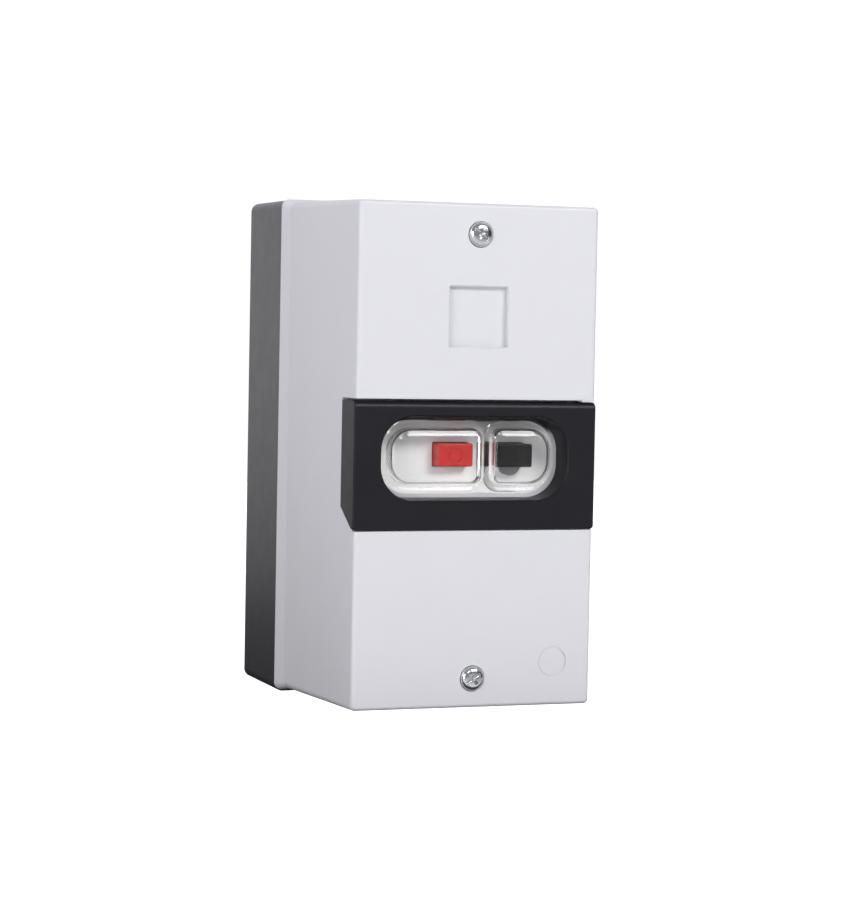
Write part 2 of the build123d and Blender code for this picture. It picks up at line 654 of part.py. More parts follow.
def make_heaters():
    """Heater windings round the bimetals, as thin sleeves."""
    sleeves = []
    for x in POLES:
        sleeve = block(x - 2.9, x + 2.9, -47.3, -44.3, -36.0, -26.0)
        sleeves.append(sleeve - block(x - 2.1, x + 2.1, -46.5, -45.1, -37, -25))
    return Compound(sleeves)


def make_magnet_coil(x):
    return slab(Pos(x, MAGNET_Z) * (Circle(3.4) - Circle(2.2)), -65.6, -59.6)


def make_magnet_yokes():
    """A U of steel round each coil, bored for its plunger."""
    yokes = []
    for x in POLES:
        yoke = block(x - 4.6, x + 4.6, -66.8, -58.4, -32.9, -31.7)
        for y_front in (-66.8, -59.5):
            yoke += block(x - 4.6, x + 4.6, y_front, y_front + 1.1, -31.9, -24.2)
        yokes.append(yoke - rod(x, MAGNET_Z, -68, -58, PLUNGER_R + RUNNING))
    return Compound(yokes)


def make_magnet_plungers():
    return Compound([rod(x, MAGNET_Z, -72.0, -58.6, PLUNGER_R) for x in POLES])


def make_trip_bar():
    """The bar across the poles that the magnets or bimetals push to trip the breaker."""
    bar = rod_x(-20.6, 20.6, TRIP_Y, TRIP_Z, TRIP_BAR_R)
    for x in POLES:
        bar += block(x - 1.5, x + 1.5, TRIP_Y - 0.5, TRIP_Y + 0.7, TRIP_Z - 7.0, TRIP_Z)
    return bar


def make_trip_bar_bearings():
    """Two blocks with bores that carry the trip bar."""
    blocks = []
    for x in (-19.9, 19.9):
        bearing = block(x - 0.6, x + 0.6, TRIP_Y - 2.6, TRIP_Y + 1.9, TRIP_Z - 2.6, TRIP_Z + 2.6)
        blocks.append(bearing - rod_x(x - 2, x + 2, TRIP_Y, TRIP_Z, TRIP_BAR_R + RUNNING))
    return Compound(blocks)


def make_latch():
    """The catch that the trip bar lets go, turning on its own hub."""
    latch = rod_x(-12.0, -9.0, LATCH_Y, LATCH_Z, 1.8)
    return latch + block(-11.2, -9.8, LATCH_Y - 0.7, LATCH_Y + 0.7, LATCH_Z - 10.5, LATCH_Z)


def make_rail_clip():
    """The sprung clip that grips the lower edge of the rail."""
    back = RAIL_FACE_Y - 0.3
    clip = block(-6.8, 6.8, back - 2.2, back, -49.0, -13.0)
    clip += block(-6.8, 6.8, back - 0.5, RAIL_FACE_Y + 4.0,
                  -RAIL_HALF_H - 3.2, -RAIL_HALF_H - 0.3)
    clip += block(-6.8, 6.8, RAIL_FACE_Y + 1.5, RAIL_FACE_Y + 4.0,
                  -RAIL_HALF_H - 0.4, -RAIL_HALF_H + 2.2)
    clip -= block(-3.0, 3.0, back - 3, back + 1, -47.6, -45.6)
    return clip


def make_clip_spring():
    return rod_z(0, RAIL_FACE_Y - 1.75, -12.9, -7.1, 1.2)


def make_parts():
    parts = {
        "base": make_base(),
        "cover": make_cover(),
        "cover_gasket": make_gasket(),
        "pillar_inserts": make_insert(),
        "cover_screw_upper": make_cover_screw(SCREW_Z[0]),
        "cover_screw_lower": make_cover_screw(SCREW_Z[1]),
        "screw_o_rings": make_o_rings(),
        "front_band": make_band(),
        "membrane": make_membrane(),
        "din_rail": make_rail(),
        "rail_screws": make_rail_screws(),
        "earth_terminal": make_earth_terminal(),
        "earth_screws": make_earth_screws(),
        "breaker_rear_case": make_rear_case(),
        "breaker_front_case": make_front_case(),
        "case_screws": make_case_screws(),
        "start_button": make_start_button(),
        "stop_button": make_stop_button(),
        "start_collar": make_start_collar(),
        "window_tray": make_window_tray(),
        "start_spring": make_button_spring(START_X, NOSE_Y + 2.15, ROCKER_Y - 3.4),
        "stop_spring": make_button_spring(STOP_X, NOSE_Y + 2.15 + STOP_TRAVEL, ROCKER_Y - 2.6),
        "rocker": make_rocker(),
        "setting_dial": make_dial(),
        "contact_carrier": make_contact_carrier(),
        "contact_springs": make_contact_springs(),
        "heaters": make_heaters(),
        "magnet_yokes": make_magnet_yokes(),
        "magnet_plungers": make_magnet_plungers(),
        "trip_bar": make_trip_bar(),
        "trip_bar_bearings": make_trip_bar_bearings(),
        "latch": make_latch(),
        "rail_clip": make_rail_clip(),
        "clip_spring": make_clip_spring(),
    }
    for end, side in (("line", 1), ("load", -1)):
        parts[f"arc_chutes_{end}"] = make_arc_chutes(side)
        parts[f"terminal_clamps_{end}"] = make_terminal_clamps(side)
        parts[f"terminal_screws_{end}"] = make_terminal_screws(side)
        for i, x in enumerate(POLES, start=1):
            parts[f"fixed_contact_{end}_{i}"] = make_fixed_contact(x, side)
    for i, x in enumerate(POLES, start=1):
        parts[f"moving_contact_{i}"] = make_moving_contact(x)
        parts[f"bimetal_{i}"] = make_bimetal(x)
        parts[f"magnet_coil_{i}"] = make_magnet_coil(x)
    return parts


os.makedirs("parts", exist_ok=True)
for node, shape in make_parts().items():
    export_step(shape, f"parts/{node}.step")
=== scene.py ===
import json
import math

import bmesh
import bpy
from mathutils import Matrix, Vector


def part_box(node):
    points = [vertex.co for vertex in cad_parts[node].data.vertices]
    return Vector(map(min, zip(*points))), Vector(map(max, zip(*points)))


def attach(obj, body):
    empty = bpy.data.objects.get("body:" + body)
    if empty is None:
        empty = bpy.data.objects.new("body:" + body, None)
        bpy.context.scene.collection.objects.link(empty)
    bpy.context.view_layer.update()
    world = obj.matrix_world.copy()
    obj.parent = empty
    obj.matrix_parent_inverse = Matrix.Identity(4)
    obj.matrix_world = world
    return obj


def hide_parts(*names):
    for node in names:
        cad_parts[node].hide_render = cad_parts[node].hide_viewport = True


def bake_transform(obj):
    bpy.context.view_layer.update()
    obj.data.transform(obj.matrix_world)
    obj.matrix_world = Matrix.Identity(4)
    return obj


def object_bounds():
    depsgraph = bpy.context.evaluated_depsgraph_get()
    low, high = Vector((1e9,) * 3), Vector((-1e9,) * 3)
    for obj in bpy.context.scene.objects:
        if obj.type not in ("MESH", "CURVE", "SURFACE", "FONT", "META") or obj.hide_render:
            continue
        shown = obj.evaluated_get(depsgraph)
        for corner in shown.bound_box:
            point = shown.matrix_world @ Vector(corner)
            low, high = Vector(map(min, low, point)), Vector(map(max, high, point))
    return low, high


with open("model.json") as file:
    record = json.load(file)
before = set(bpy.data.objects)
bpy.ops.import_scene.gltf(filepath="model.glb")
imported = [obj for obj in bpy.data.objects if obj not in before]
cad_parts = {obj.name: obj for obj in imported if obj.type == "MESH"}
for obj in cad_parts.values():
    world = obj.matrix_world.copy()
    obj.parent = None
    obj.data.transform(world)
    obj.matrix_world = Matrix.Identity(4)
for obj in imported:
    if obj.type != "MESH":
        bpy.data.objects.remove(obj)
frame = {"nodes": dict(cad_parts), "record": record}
cad_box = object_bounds()

MM = 0.001


# ---------------------------------------------------------------- camera

CAMERA_PLACE = (-0.3027, -0.8851, 0.0396)
CAMERA_YAW = math.radians(20.21)      # turned to its right from straight ahead
CAMERA_PITCH = math.radians(2.61)     # looking down
CAMERA_ROLL = math.radians(1.08)
CAMERA_LENS = 104.86


def make_camera():
    forward = Vector((
        math.sin(CAMERA_YAW) * math.cos(CAMERA_PITCH),
        math.cos(CAMERA_YAW) * math.cos(CAMERA_PITCH),
        -math.sin(CAMERA_PITCH),
    ))
    level = Vector((math.cos(CAMERA_YAW), -math.sin(CAMERA_YAW), 0.0))
    upright = level.cross(forward)
    right = math.cos(CAMERA_ROLL) * level + math.sin(CAMERA_ROLL) * upright
    up = -math.sin(CAMERA_ROLL) * level + math.cos(CAMERA_ROLL) * upright
    data = bpy.data.cameras.new("camera")
    data.lens = CAMERA_LENS
    data.sensor_width = 36.0
    data.clip_start = 0.01
    data.clip_end = 50.0
    camera = bpy.data.objects.new("camera", data)
    turn = Matrix((right, up, -forward)).transposed()
    camera.matrix_world = Matrix.Translation(CAMERA_PLACE) @ turn.to_4x4()
    bpy.context.scene.collection.objects.link(camera)
    bpy.context.scene.camera = camera


make_camera()


# ---------------------------------------------------------------- materials

class Shader:
    """A node material: one principled shader with its inputs driven by noise."""

    def __init__(self, name, **sockets):
        self.material = bpy.data.materials.new(name)
        self.material.use_nodes = True
        self.tree = self.material.node_tree
        self.shader = self.tree.nodes["Principled BSDF"]
        for socket, value in sockets.items():
            self.shader.inputs[socket.replace("_", " ")].default_value = value
        self.place = self.tree.nodes.new("ShaderNodeTexCoord").outputs["Object"]
        self.height = None

    def node(self, kind, **settings):
        """A new node. Each setting is a field of the node or else the value of an input."""
        made = self.tree.nodes.new(kind)
        for key, value in settings.items():
            if hasattr(made, key):
                setattr(made, key, value)
            else:
                made.inputs[key].default_value = value
        return made

    def link(self, source, target):
        self.tree.links.new(source, target)

    def noise(self, size, detail, stretch=None):
        """Noise whose features are about this many metres across."""
        made = self.node("ShaderNodeTexNoise", Scale=1.0 / size, Detail=detail)
        place = self.place
        if stretch:
            mapping = self.node("ShaderNodeMapping")
            mapping.inputs["Scale"].default_value = stretch
            self.link(place, mapping.inputs["Vector"])
            place = mapping.outputs["Vector"]
        self.link(place, made.inputs["Vector"])
        return made.outputs["Fac"]

    def vary_colour(self, factor, low, high):
        """A base colour that follows the factor from low to high."""
        ramp = self.node("ShaderNodeValToRGB")
        ramp.color_ramp.elements[0].position = 0.3
        ramp.color_ramp.elements[1].position = 0.7
        ramp.color_ramp.elements[0].color = (*low, 1.0)
        ramp.color_ramp.elements[1].color = (*high, 1.0)
        self.link(factor, ramp.inputs["Fac"])
        self.link(ramp.outputs["Color"], self.shader.inputs["Base Color"])

    def vary_roughness(self, factor, low, high):
        spread = self.node("ShaderNodeMapRange")
        spread.inputs["To Min"].default_value = low
        spread.inputs["To Max"].default_value = high
        self.link(factor, spread.inputs["Value"])
        self.link(spread.outputs["Result"], self.shader.inputs["Roughness"])

    def bump(self, factor, depth):
        """Adds relief of this depth in metres on top of what is there already."""
        made = self.node("ShaderNodeBump", Strength=1.0, Distance=depth)
        self.link(factor, made.inputs["Height"])
        if self.height:
            self.link(self.height, made.inputs["Normal"])
        self.height = made.outputs["Normal"]
        self.link(self.height, self.shader.inputs["Normal"])

    def level_with_height(self, low_z, high_z, low, high):
        """A value that goes from low to high between two heights on the object."""
        split = self.node("ShaderNodeSeparateXYZ")
        self.link(self.place, split.inputs["Vector"])
        ramp = self.node("ShaderNodeMapRange")
        ends = {"From Min": low_z, "From Max": high_z, "To Min": low, "To Max": high}
        for socket, value in ends.items():
            ramp.inputs[socket].default_value = value
        self.link(split.outputs["Z"], ramp.inputs["Value"])
        return ramp.outputs["Result"]


def tint(colour, factor):
    return tuple(c * factor for c in colour)


def moulded(name, colour, rough, mottle, **sockets):
    """Moulded plastic: a fine grain, slight waves, faint mottling and slow changes of gloss."""
    made = Shader(name, **sockets)
    made.vary_colour(made.noise(14 * MM, 4), tint(colour, 1 - mottle), tint(colour, 1 + mottle))
    made.vary_roughness(made.noise(6 * MM, 5), rough - 0.05, rough + 0.05)
    made.bump(made.noise(0.35 * MM, 2), 0.012 * MM)
    made.bump(made.noise(22 * MM, 2), 0.02 * MM)
    return made.material


def metal(name, colour, rough, stretch=None):
    """Plated or rolled metal, with fine drawn marks if it is stretched."""
    made = Shader(name, Metallic=1.0)
    made.vary_colour(made.noise(3 * MM, 4), tint(colour, 0.9), tint(colour, 1.05))
    made.vary_roughness(made.noise(1.2 * MM, 4, stretch), rough - 0.06, rough + 0.08)
    made.bump(made.noise(0.25 * MM, 3, stretch), 0.004 * MM)
    return made.material


# One material for each material slot of the record.
materials = {
    "grey_housing": moulded("cover_plastic", (0.68, 0.68, 0.72), 0.42, mottle=0.008, IOR=1.5),
    "black_housing": moulded("base_plastic", (0.011, 0.011, 0.015), 0.34, mottle=0.08),
    "black_trim": moulded("band_plastic", (0.006, 0.006, 0.010), 0.42, mottle=0.10,
                          Specular_IOR_Level=0.30),
    "seal_rubber": moulded("seal_rubber", (0.03, 0.03, 0.03), 0.75, mottle=0.12),
    "breaker_case": moulded("breaker_plastic", (0.70, 0.71, 0.71), 0.40, mottle=0.02),
    "tray_plastic": moulded("tray_plastic", (0.92, 0.92, 0.915), 0.42, mottle=0.012),
    "black_button": moulded("start_plastic", (0.003, 0.003, 0.004), 0.42, mottle=0.08,
                            Specular_IOR_Level=0.2),
    "red_button": moulded("stop_plastic", (0.56, 0.016, 0.012), 0.34, mottle=0.05),
    "grey_collar": moulded("collar_plastic", (0.30, 0.31, 0.32), 0.45, mottle=0.05),
    "dial_plastic": moulded("dial_plastic", (0.05, 0.05, 0.055), 0.40, mottle=0.08),
    "mechanism_plastic": moulded("mechanism_plastic", (0.10, 0.10, 0.11), 0.5, mottle=0.06),
    "clip_plastic": moulded("clip_plastic", (0.03, 0.03, 0.032), 0.45, mottle=0.08),
    "zinc_screw": metal("zinc_screw", (0.70, 0.71, 0.73), 0.17),
    "zinc_steel": metal("zinc_steel", (0.62, 0.63, 0.65), 0.32, stretch=(0.15, 1.0, 1.0)),
    "spring_steel": metal("spring_steel", (0.55, 0.55, 0.57), 0.28),
    "brass": metal("brass", (0.75, 0.52, 0.22), 0.30),
    "copper": metal("copper", (0.80, 0.42, 0.26), 0.30),
    "bimetal": metal("bimetal", (0.58, 0.53, 0.45), 0.34, stretch=(1.0, 1.0, 0.1)),
    "heater_tape": moulded("heater_tape", (0.62, 0.58, 0.50), 0.8, mottle=0.1),
}


# The silicone is clear below the first height and dims light most above the second. Between the two
# heights its colour darkens as painted shade.
SILICONE_CLEAR_Z, SILICONE_SHADED_Z = 6.8 * MM, 9.2 * MM
SILICONE_SHADE_TONE = (0.985, 0.70)         # its colour, clear below and darkened above as painted shade
SILICONE_LAMPS = (1.0, 0.06)          # the share of lamp and bounce light that goes through it


def make_silicone():
    """Clear silicone. Lamp and bounce light goes straight on, as through a thin sheet."""
    made = Shader("clear_silicone", IOR=1.41, Transmission_Weight=1.0)
    made.vary_roughness(made.noise(4 * MM, 4), 0.03, 0.08)
    made.bump(made.noise(5 * MM, 2), 0.03 * MM)
    # Painted shade: the colour darkens towards the top of the domes, where the tray behind them lies in
    # shade.
    painted_shade = made.level_with_height(SILICONE_CLEAR_Z, SILICONE_SHADED_Z, *SILICONE_SHADE_TONE)
    lamps = made.level_with_height(SILICONE_CLEAR_Z, SILICONE_SHADED_Z, *SILICONE_LAMPS)
    # The painted shade times a slight random mottling gives the base colour.
    mottle = made.node("ShaderNodeMath", operation="MULTIPLY")
    slight = made.node("ShaderNodeMapRange")
    slight.inputs["To Min"].default_value = 0.985
    made.link(made.noise(9 * MM, 3), slight.inputs["Value"])
    made.link(painted_shade, mottle.inputs[0])
    made.link(slight.outputs["Result"], mottle.inputs[1])
    made.link(mottle.outputs["Value"], made.shader.inputs["Base Color"])
    clear = made.node("ShaderNodeBsdfTransparent")
    made.link(lamps, clear.inputs["Color"])
    path = made.node("ShaderNodeLightPath")
    through = made.node("ShaderNodeMath", operation="MAXIMUM")
    made.link(path.outputs["Is Shadow Ray"], through.inputs[0])
    made.link(path.outputs["Is Diffuse Ray"], through.inputs[1])
    mix = made.node("ShaderNodeMixShader")
    made.link(through.outputs["Value"], mix.inputs["Fac"])
    made.link(made.shader.outputs["BSDF"], mix.inputs[1])
    made.link(clear.outputs["BSDF"], mix.inputs[2])
    made.link(mix.outputs["Shader"], made.tree.nodes["Material Output"].inputs["Surface"])
    return made.material


materials["clear_silicone"] = make_silicone()

# The CAD meshes that show take the material of their slot.
for part in frame["record"]["subparts"]:
    mesh = frame["nodes"][part["node"]].data
    mesh.materials.clear()
    mesh.materials.append(materials[part["material_slot"]])


# ---------------------------------------------------------------- mesh helpers

def new_piece(name, data, material_slot, body, *nodes):
    """Links a finished mesh that stands for CAD nodes and rides on a body, if one is given."""
    piece = bpy.data.objects.new(name, data)
    bpy.context.scene.collection.objects.link(piece)
    data.materials.clear()
    data.materials.append(materials[material_slot])
    if body:
        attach(piece, body)
    if nodes:
        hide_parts(*nodes)
    return piece


def mesh_of(bm, name):
    mesh = bpy.data.meshes.new(name)
    bm.to_mesh(mesh)
    bm.free()
    return mesh


def smooth(mesh, sharp_angle):
    """Smooth shading, with sharp edges where faces meet at more than this angle."""
    for polygon in mesh.polygons:
        polygon.use_smooth = True
    mesh.set_sharp_from_angle(angle=math.radians(sharp_angle))
    return mesh


def finish_mesh(bm, name, sharp_angle=35.0):
    bmesh.ops.remove_doubles(bm, verts=bm.verts, dist=1e-7)
    bmesh.ops.recalc_face_normals(bm, faces=bm.faces)
    return smooth(mesh_of(bm, name), sharp_angle)


def joined(meshes, name):
    """One mesh out of several."""
    bm = bmesh.new()
    for mesh in meshes:
        bm.from_mesh(mesh)
    return mesh_of(bm, name)


def skin(bm, rings):
    """Faces between closed rings of vertices that all have the same count."""
    count = len(rings[0])
    for a, b in zip(rings, rings[1:]):
        for i in range(count):
            j = (i + 1) % count
            bm.faces.new((a[i], a[j], b[j], b[i]))


def loft(loops, bm=None):
    """A closed skin over loops of points, capped at both ends."""
    bm = bm or bmesh.new()
    rings = [[bm.verts.new(p) for p in loop] for loop in loops]
    skin(bm, rings)
    bm.faces.new(rings[0])
    bm.faces.new(list(reversed(rings[-1])))
    return bm


def turned(centre, profile, segments=48, knurl=0.0):
    """A solid turned about a line along Y through (x, z), from (radius, y) pairs."""
    loops = []
    for radius, y in profile:
        loop = []
        for i in range(segments):
            angle = math.tau * i / segments
            r = max(radius - (knurl if i % 2 else 0.0), 1e-6)
            loop.append(Vector((centre[0] + r * math.cos(angle), y, centre[1] + r * math.sin(angle))))
        loops.append(loop)
    return loft(loops)


def rounded_loop(low_x, high_x, low_z, high_z, y, left_r, right_r, steps):
    """A rectangle that faces the front, its corners round, as a loop of points."""
    points = []
    for side_x, side_z, start in ((1, 1, 0), (-1, 1, 90), (-1, -1, 180), (1, -1, 270)):
        r = right_r if side_x > 0 else left_r
        x = (high_x if side_x > 0 else low_x) - side_x * r
        z = (high_z if side_z > 0 else low_z) - side_z * r
        for i in range(steps + 1):
            angle = math.radians(start + 90 * i / steps)
            points.append(Vector((x + r * math.cos(angle), y, z + r * math.sin(angle))))
    return points


def add_box(bm, low, high, bevel=0.0):
    """Adds a box between two corners, with its edges rounded over this width."""
    made = bmesh.ops.create_cube(bm, size=1.0)
    size = [h - l for l, h in zip(low, high)]
    middle = [(l + h) / 2 for l, h in zip(low, high)]
    for v in made["verts"]:
        v.co = Vector([m + c * s for m, c, s in zip(middle, v.co, size)])
    if bevel:
        edges = list({e for v in made["verts"] for e in v.link_edges})
        bmesh.ops.bevel(bm, geom=edges, offset=bevel, segments=2, affect="EDGES", profile=0.5)


def combined(mesh, others, operation):
    """The mesh after a boolean with each of the others in turn."""
    scene = bpy.context.scene.collection
    subject = bpy.data.objects.new("subject", mesh)
    scene.objects.link(subject)
    tools = []
    for other in others:
        tool = bpy.data.objects.new("tool", other)
        scene.objects.link(tool)
        tools.append(tool)
        modifier = subject.modifiers.new("cut", "BOOLEAN")
        modifier.operation = operation
        modifier.solver = "EXACT"
        modifier.object = tool
    bpy.context.view_layer.update()
    evaluated = subject.evaluated_get(bpy.context.evaluated_depsgraph_get())
    result = bpy.data.meshes.new_from_object(evaluated)
    for thing in [subject, *tools]:
        bpy.data.objects.remove(thing)
    return result


def islands(node):
    """The (low, high) corners of each separate solid in a CAD node, from left to right."""
    mesh = frame["nodes"][node].data
    bm = bmesh.new()
    bm.from_mesh(mesh)
    bmesh.ops.remove_doubles(bm, verts=bm.verts, dist=1e-6)
    seen = set()
    found = []
    for start in bm.verts:
        if start in seen:
            continue
        seen.add(start)
        queue = [start]
        points = []
        while queue:
            v = queue.pop()
            points.append(v.co.copy())
            for edge in v.link_edges:
                other = edge.other_vert(v)
                if other not in seen:
                    seen.add(other)
                    queue.append(other)
        low = Vector([min(p[i] for p in points) for i in range(3)])
        high = Vector([max(p[i] for p in points) for i in range(3)])
        found.append((low, high))
    bm.free()
    return sorted(found, key=lambda b: (round(b[0].x, 4), round(b[0].z, 4)))


def body_of(node):
    """The rigid body that the record puts this CAD node in."""
    for body, nodes in frame["record"]["behaviour"]["bodies"].items():
        if node in nodes:
            return body
    raise ValueError(node)


def axis_of(node):
    """x and z of the middle of a CAD node."""
    low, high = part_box(node)
    return (low[0] + high[0]) / 2, (low[2] + high[2]) / 2


# ---------------------------------------------------------------- screws

# A pan head from its top to its seat, as shares of the head's radius and height.
PAN_HEAD = ((0.02, 0.0), (0.45, 0.015), (0.62, 0.05), (0.76, 0.14), (0.87, 0.28),
            (0.95, 0.46), (0.99, 0.66), (1.0, 0.82), (0.985, 0.95), (0.93, 1.0))
# The arms of the recess: turn, and reach at the top and at the floor as shares of that radius.
RECESS_ARMS = ((0, 0.70, 0.651), (90, 0.56, 0.308))


def screw_mesh(low, high, head_r, head_h, shank_r, turn):
    """A pan head screw along Y that fills this box, with a cross and slot recess."""
    x = (low.x + high.x) / 2
    z = (low.z + high.z) / 2
    top = low.y
    seat = top + head_h
    profile = [(head_r * r, top + head_h * h) for r, h in PAN_HEAD]
    profile.append((shank_r, seat))
    pitch = shank_r * 0.36
    y = seat + pitch
    while y < high.y - pitch:
        profile += [(shank_r * 0.84, y - pitch * 0.45), (shank_r * 0.99, y)]
        y += pitch
    profile += [(shank_r * 0.8, high.y - pitch * 0.3), (shank_r * 0.62, high.y), (0.00001, high.y)]
    body = finish_mesh(turned((x, z), profile), "screw_body")
    cutters = []
    wide = head_r * 0.125
    above, floor = top - 0.2 * MM, top + head_h * 0.62
    for angle, top_reach, floor_reach in RECESS_ARMS:
        loops = []
        for y, half_w, reach in ((above, wide * 1.2, top_reach), (floor, wide * 0.9, floor_reach)):
            corners = ((1, 1), (-1, 1), (-1, -1), (1, -1))
            loops.append([Vector((a * head_r * reach, y, b * half_w)) for a, b in corners])
        bm = loft(loops)
        spin = Matrix.Rotation(math.radians(angle + turn), 4, "Y")
        bmesh.ops.transform(bm, matrix=Matrix.Translation((x, 0, z)) @ spin, verts=bm.verts)
        cutters.append(finish_mesh(bm, "recess"))
    tip = top + head_h * 0.775
    hub = turned((x, z), [(wide * 1.75, above), (wide * 1.3, floor), (wide * 0.3, tip)], segments=24)
    cutters.append(finish_mesh(hub, "recess_hub"))
    return smooth(combined(body, cutters, "DIFFERENCE"), 30)


def place_screws(node, head_r, head_h, shank_r, turns):
    """One screw for each solid of a CAD node: sizes in millimetres, recess turns in degrees."""
    sizes = (head_r * MM, head_h * MM, shank_r * MM)
    places = zip(islands(node), turns, strict=True)
    screws = [screw_mesh(*corners, *sizes, turn) for corners, turn in places]
    mesh = smooth(joined(screws, node + "_mesh"), 30)
    new_piece(node + "_detailed", mesh, "zinc_screw", body_of(node), node)


place_screws("cover_screw_upper", 4.05, 2.4, 2.0, (38,))
place_screws("cover_screw_lower", 4.05, 2.4, 2.0, (-32,))
place_screws("rail_screws", 3.4, 2.4, 2.0, (12, 64))
place_screws("case_screws", 2.2, 1.5, 1.25, (0, 35, 80, 15))
place_screws("earth_screws", 2.4, 1.6, 1.2, (20, -30))
place_screws("terminal_screws_line", 3.4, 2.4, 2.0, (5, 48, 25))
place_screws("terminal_screws_load", 3.4, 2.4, 2.0, (70, 10, -20))


# ---------------------------------------------------------------- springs and windings

POINTS_PER_TURN = 28


def wound(path, wire_r, bm, sides=8):
    """A round wire swept along a list of points."""
    rings = []
    for i, point in enumerate(path):
        ahead = path[min(i + 1, len(path) - 1)] - path[max(i - 1, 0)]
        ahead.normalize()
        side = ahead.cross(Vector((0.31, 0.52, 0.8)))
        if i:
            side = previous - ahead * previous.dot(ahead)
        side.normalize()
        previous = side
        up = ahead.cross(side)
        angles = [math.tau * k / sides for k in range(sides)]
        offsets = [wire_r * (math.cos(angle) * side + math.sin(angle) * up) for angle in angles]
        rings.append([bm.verts.new(point + offset) for offset in offsets])
    skin(bm, rings)
    bm.faces.new(rings[0])
    bm.faces.new(list(reversed(rings[-1])))


def helix(low, high, axis, wire_r, turns, flat_ends):
    """Points of a coil that fills this box along axis 1 (Y) or 2 (Z).

    Flat ends are the first and last three quarters of a turn, which don't climb.
    """
    across = [i for i in range(3) if i != axis]
    centre = (low + high) / 2
    radius = (high[across[0]] - low[across[0]]) / 2 - wire_r
    start, end = low[axis] + wire_r, high[axis] - wire_r
    points = []
    steps = int(turns * POINTS_PER_TURN)
    for i in range(steps + 1):
        share = i / steps
        if flat_ends:
            lead = 1.0 / turns
            share_along = min(max((share - lead * 0.75) / (1 - 1.5 * lead), 0.0), 1.0)
        else:
            share_along = share
        angle = math.tau * turns * share
        point = Vector((0, 0, 0))
        point[across[0]] = centre[across[0]] + radius * math.cos(angle)
        point[across[1]] = centre[across[1]] + radius * math.sin(angle)
        point[axis] = start + (end - start) * share_along
        points.append(point)
    return points


def coil_piece(node, body, axis, wire, turns, material_slot, flat_ends=True):
    """A wound wire in each solid of a CAD node, with the wire's radius in millimetres."""
    bm = bmesh.new()
    for low, high in islands(node):
        wound(helix(low, high, axis, wire * MM, turns, flat_ends), wire * MM, bm)
    mesh = finish_mesh(bm, node + "_mesh", 60)
    return new_piece(node + "_wound", mesh, material_slot, body, node)


def stretched_spring(node, axis, wire, turns):
    """A spring made as one fixed mesh on no body. In the real part its low end sits on a moving body and
    its high end on the case.
    """
    spring = coil_piece(node, None, axis, wire, turns, "spring_steel")
    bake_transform(spring)


ALONG_Y, ALONG_Z = 1, 2
stretched_spring("start_spring", ALONG_Y, 0.32, 5.5)
stretched_spring("stop_spring", ALONG_Y, 0.32, 5.5)
stretched_spring("clip_spring", ALONG_Z, 0.2, 7)
coil_piece("contact_springs", body_of("contact_springs"), ALONG_Y, 0.22, 4, "spring_steel")
for coil in ("magnet_coil_1", "magnet_coil_2", "magnet_coil_3"):
    coil_piece(coil, body_of(coil), ALONG_Y, 0.42, 7, "copper", flat_ends=False)


# ---------------------------------------------------------------- membrane

# Sizes of the domes in millimetres. A depth counts from the band's face, an inset from the foot.
DOME_H, DOME_Z = 23.1, -0.35          # as in the CAD part
DOME_R, DOME_INNER_R = 9.8, 5.6       # corners far from and near the other dome
DOME_TOP, DOME_FOOT = 4.1, 8.6        # depths
SHOULDER_R = 3.3                      # the round from the dome's side to its cushioned top
SHOULDER_TURN = 63.4                  # how far it turns, in degrees
CUSHION_W = 5.8                       # the top bulges over this width, inside the shoulder
SIDE_WALL, TOP_WALL = 3.1, 0.9        # thick sides, thin top
MEMBRANE_R = 12.0                     # corners of the flange
# Each dome: the x of its side near the other dome and of its far side, and the share of an
# inset that each of the two takes. On the outside the far side takes all of it.
DOMES = ((5.55, -29.6, 0.55, 1.0), (5.45, 29.7, 1.05, 0.62))
front_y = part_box("front_band")[0][1]


def dome_loop(near_x, far_x, near_share, far_share, inset, depth):
    """A loop round one dome: round at its far end, tighter where the domes meet."""
    outward = 1 if far_x > near_x else -1
    near_inset = inset * near_share if inset > 0 else inset
    far_inset = inset * far_share if inset > 0 else inset
    low_x, high_x = sorted((near_x + outward * near_inset, far_x - outward * far_inset))
    near_r, far_r = max(DOME_INNER_R - inset, 0.5), max(DOME_R - inset, 0.5)
    left_r, right_r = (near_r, far_r) if outward > 0 else (far_r, near_r)
    half_h = DOME_H / 2 - inset
    sides = [side * MM for side in (low_x, high_x, DOME_Z - half_h, DOME_Z + half_h)]
    return rounded_loop(*sides, front_y + depth * MM, left_r * MM, right_r * MM, 14)


def cushion_depth(inset):
    """Depth of the dome's bulging top at this inset."""
    turn = math.radians(SHOULDER_TURN)
    edge_inset = SHOULDER_R * (1 - math.cos(turn))
    rise = DOME_FOOT - SHOULDER_R * math.sin(turn) - DOME_TOP
    share = min(max((inset - edge_inset) / CUSHION_W, 0.0), 1.0)
    return DOME_TOP + rise * (1 - share) ** 2


def dome_outside(near_x, far_x, near_share):
    """A flared foot, a round shoulder and a cushioned top, as (inset, depth) rows."""
    rows = [(-0.55, DOME_FOOT + 0.3), (-0.55, DOME_FOOT - 0.02), (-0.2, DOME_FOOT - 0.10)]
    rows.append((0.0, DOME_FOOT - 0.25))
    for step in range(1, 9):
        turn = math.radians(SHOULDER_TURN * step / 8)
        rows.append((SHOULDER_R * (1 - math.cos(turn)), DOME_FOOT - SHOULDER_R * math.sin(turn)))
    edge = rows[-1][0]
    for step in range(1, 13):
        inset = edge + CUSHION_W * step / 12
        rows.append((inset, cushion_depth(inset)))
    loops = [dome_loop(near_x, far_x, near_share, 1.0, *row) for row in rows]
    return finish_mesh(loft(loops), "dome", 50)


